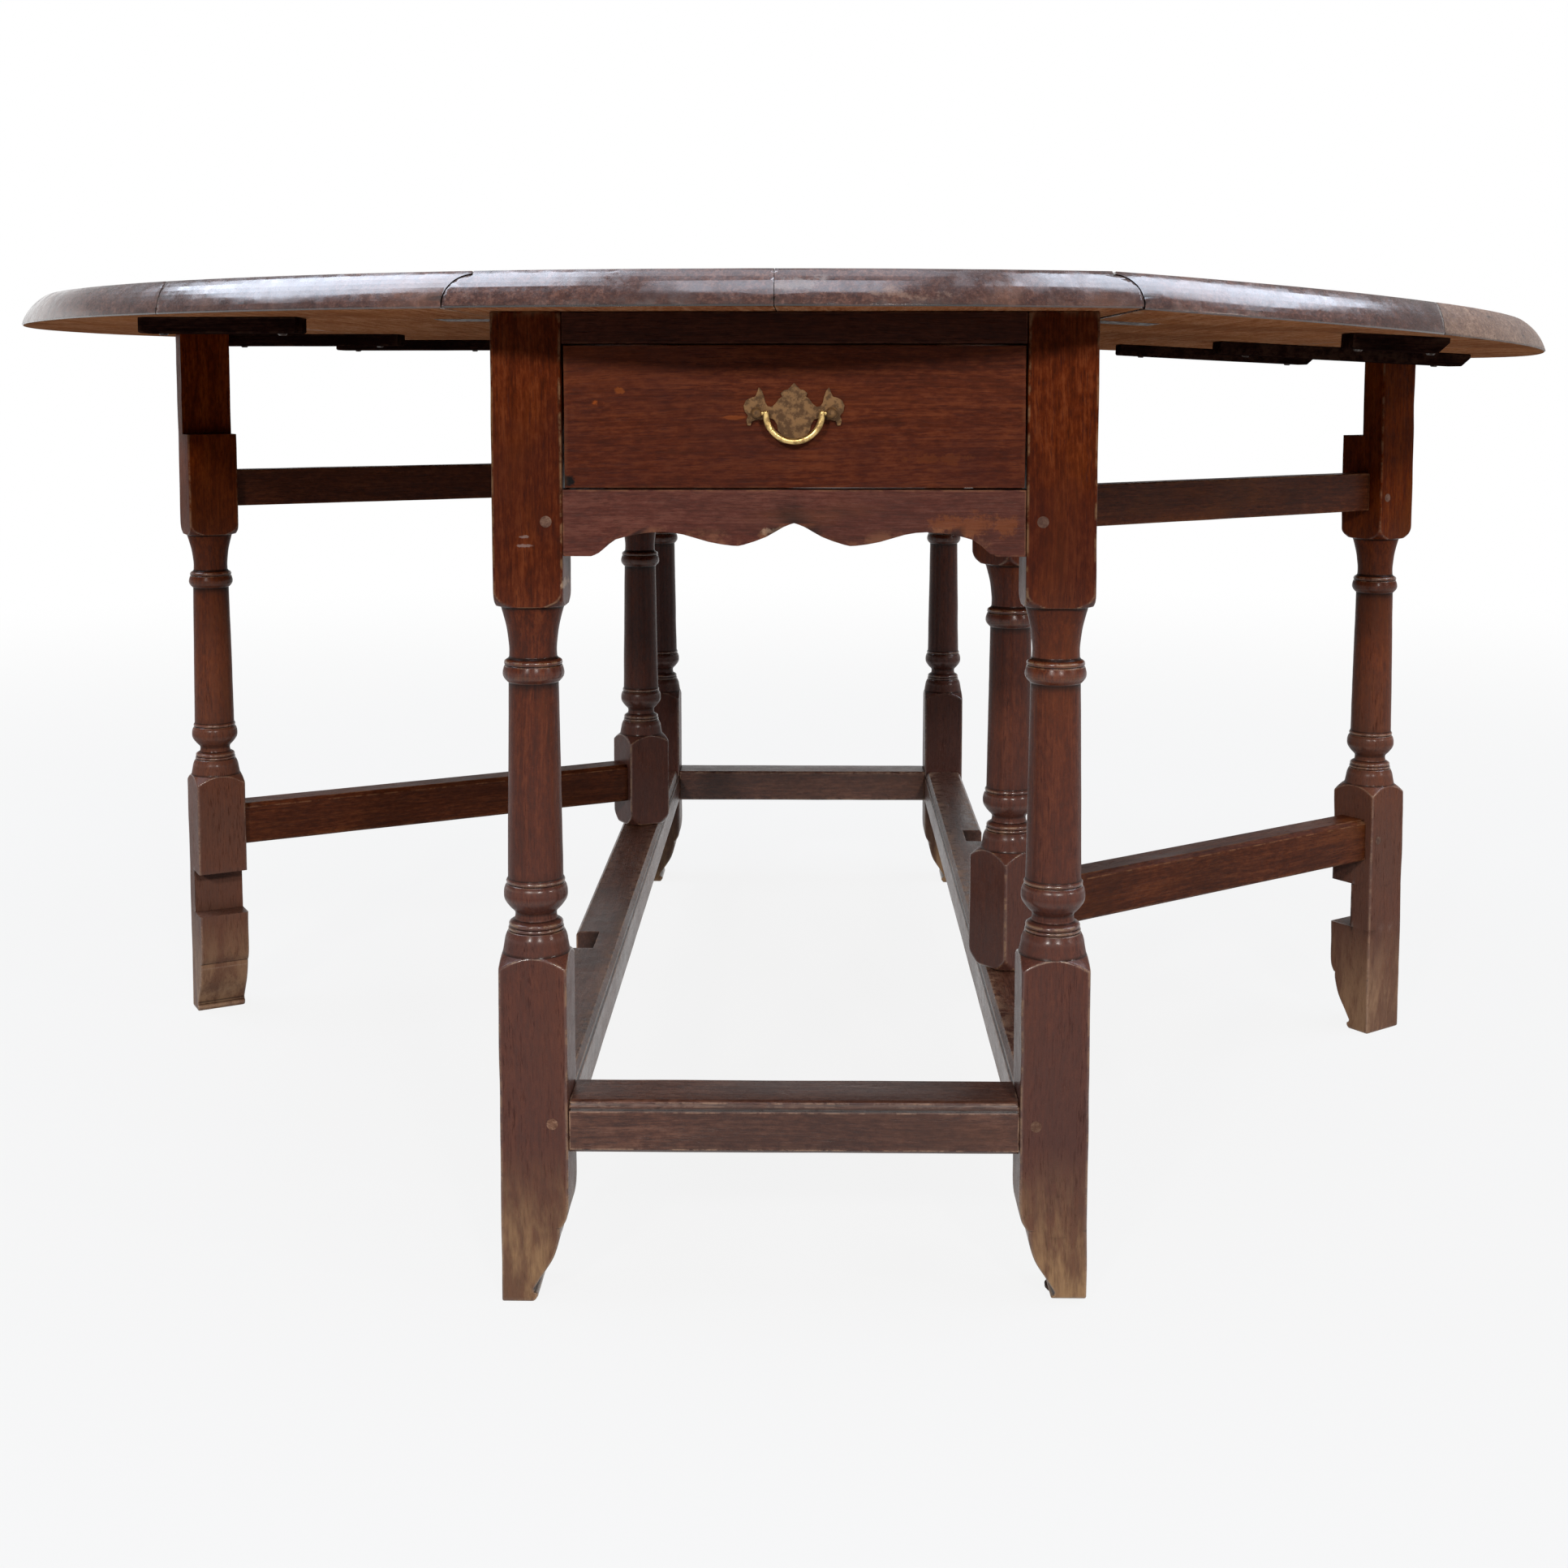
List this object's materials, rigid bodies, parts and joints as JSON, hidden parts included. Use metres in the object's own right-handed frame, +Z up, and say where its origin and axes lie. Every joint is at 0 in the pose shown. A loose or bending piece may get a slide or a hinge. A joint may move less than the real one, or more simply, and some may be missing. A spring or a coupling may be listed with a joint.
{
  "type": "round folding table",
  "caption": "Round oak gateleg table with a shallow end drawer, shaped apron, turned legs, drop leaves on rule joints and swinging gate legs, drawn open",
  "frame": {"origin": "on the floor, under the centre of the overall box of the open table, which is the centre of its round top", "axes": "+X to the right seen from the drawer end, +Y away from the drawer end, +Z up"},
  "size_m": [1.4064, 1.4072, 0.725],
  "materials": {
    "oak_legs": "waxed, dark red-brown, worn at the feet",
    "oak_rails": "waxed, very dark brown",
    "oak_front": "waxed, red-brown with a fine straight grain",
    "oak_stretchers": "waxed, worn paler on the edges",
    "oak_top": "polished grey-brown, raw underneath",
    "oak_replaced": "dull, paler grey-brown, raw underneath",
    "oak_battens": "stained nearly black",
    "oak_pegs": "dark end grain",
    "oak_raw": "unfinished",
    "iron": "dark wrought iron, slightly rusted",
    "brass_plate": "dull brown patina",
    "brass_bail": "bright where handled"
  },
  "bodies": {
    "frame": {"leg_front_left": "oak_legs", "leg_front_right": "oak_legs", "leg_back_left": "oak_legs", "leg_back_right": "oak_legs", "rail_side_left": "oak_rails", "rail_side_right": "oak_rails", "rail_back": "oak_rails", "rail_front_top": "oak_front", "apron_front": "oak_front", "stretcher_front": "oak_stretchers", "stretcher_back": "oak_stretchers", "stretcher_left": "oak_stretchers", "stretcher_right": "oak_stretchers", "runner_left": "oak_raw", "runner_right": "oak_raw", "runner_nails": "iron", "top_board_left": "oak_top", "top_board_right": "oak_top", "frame_pegs": "oak_pegs", "top_pegs": "oak_pegs", "hinge_plates_centre": "iron", "hinge_pins": "iron", "hinge_screws_centre": "iron", "foot_glide": "iron"},
    "leaf_left": {"leaf_left_inner": "oak_top", "leaf_left_outer": "oak_top", "batten_left_front": "oak_battens", "batten_left_stop": "oak_battens", "batten_left_back": "oak_battens", "hinge_plates_left": "iron", "hinge_screws_left": "iron", "batten_nails_left": "iron"},
    "leaf_right": {"leaf_right_inner": "oak_top", "leaf_right_outer": "oak_replaced", "batten_right_front": "oak_battens", "batten_right_stop": "oak_battens", "batten_right_back": "oak_battens", "hinge_plates_right": "iron", "hinge_screws_right": "iron", "batten_nails_right": "iron"},
    "gate_left": {"gate_post_left": "oak_legs", "gate_leg_left": "oak_legs", "gate_rail_upper_left": "oak_rails", "gate_rail_lower_left": "oak_rails", "gate_pegs_left": "oak_pegs"},
    "gate_right": {"gate_post_right": "oak_legs", "gate_leg_right": "oak_legs", "gate_rail_upper_right": "oak_rails", "gate_rail_lower_right": "oak_rails", "gate_pegs_right": "oak_pegs"},
    "drawer": {"drawer_front": "oak_front", "drawer_side_left": "oak_raw", "drawer_side_right": "oak_raw", "drawer_back": "oak_raw", "drawer_bottom": "oak_raw", "pull_plate": "brass_plate", "pull_posts": "brass_plate", "pull_nuts": "brass_plate"},
    "bail": {"bail": "brass_bail"}
  },
  "joints": [
    {"name": "gate_left_swing", "type": "hinge", "parent": "frame", "child": "gate_left", "pos_m": [-0.1685, 0.274, 0.146], "axis": [0, 0, 1], "range_deg": [0, 60.7]},
    {"name": "gate_right_swing", "type": "hinge", "parent": "frame", "child": "gate_right", "pos_m": [0.1985, -0.274, 0.146], "axis": [0, 0, 1], "range_deg": [0, 54.4]},
    {"name": "drawer_slide", "type": "slide", "parent": "frame", "child": "drawer", "axis": [0, -1, 0], "range_m": [0, 0.28]},
    {"name": "bail_swing", "type": "hinge", "parent": "drawer", "child": "bail", "pos_m": [0.015, -0.618, 0.631], "axis": [-1, 0, 0], "range_deg": [0, 95]},
    {"name": "leaf_left_lift", "type": "hinge", "parent": "frame", "child": "leaf_left", "pos_m": [-0.195, 0, 0.703], "axis": [0, 1, 0], "range_deg": [0, 2]},
    {"name": "leaf_right_lift", "type": "hinge", "parent": "frame", "child": "leaf_right", "pos_m": [0.225, 0, 0.703], "axis": [0, -1, 0], "range_deg": [0, 5]}
  ]
}
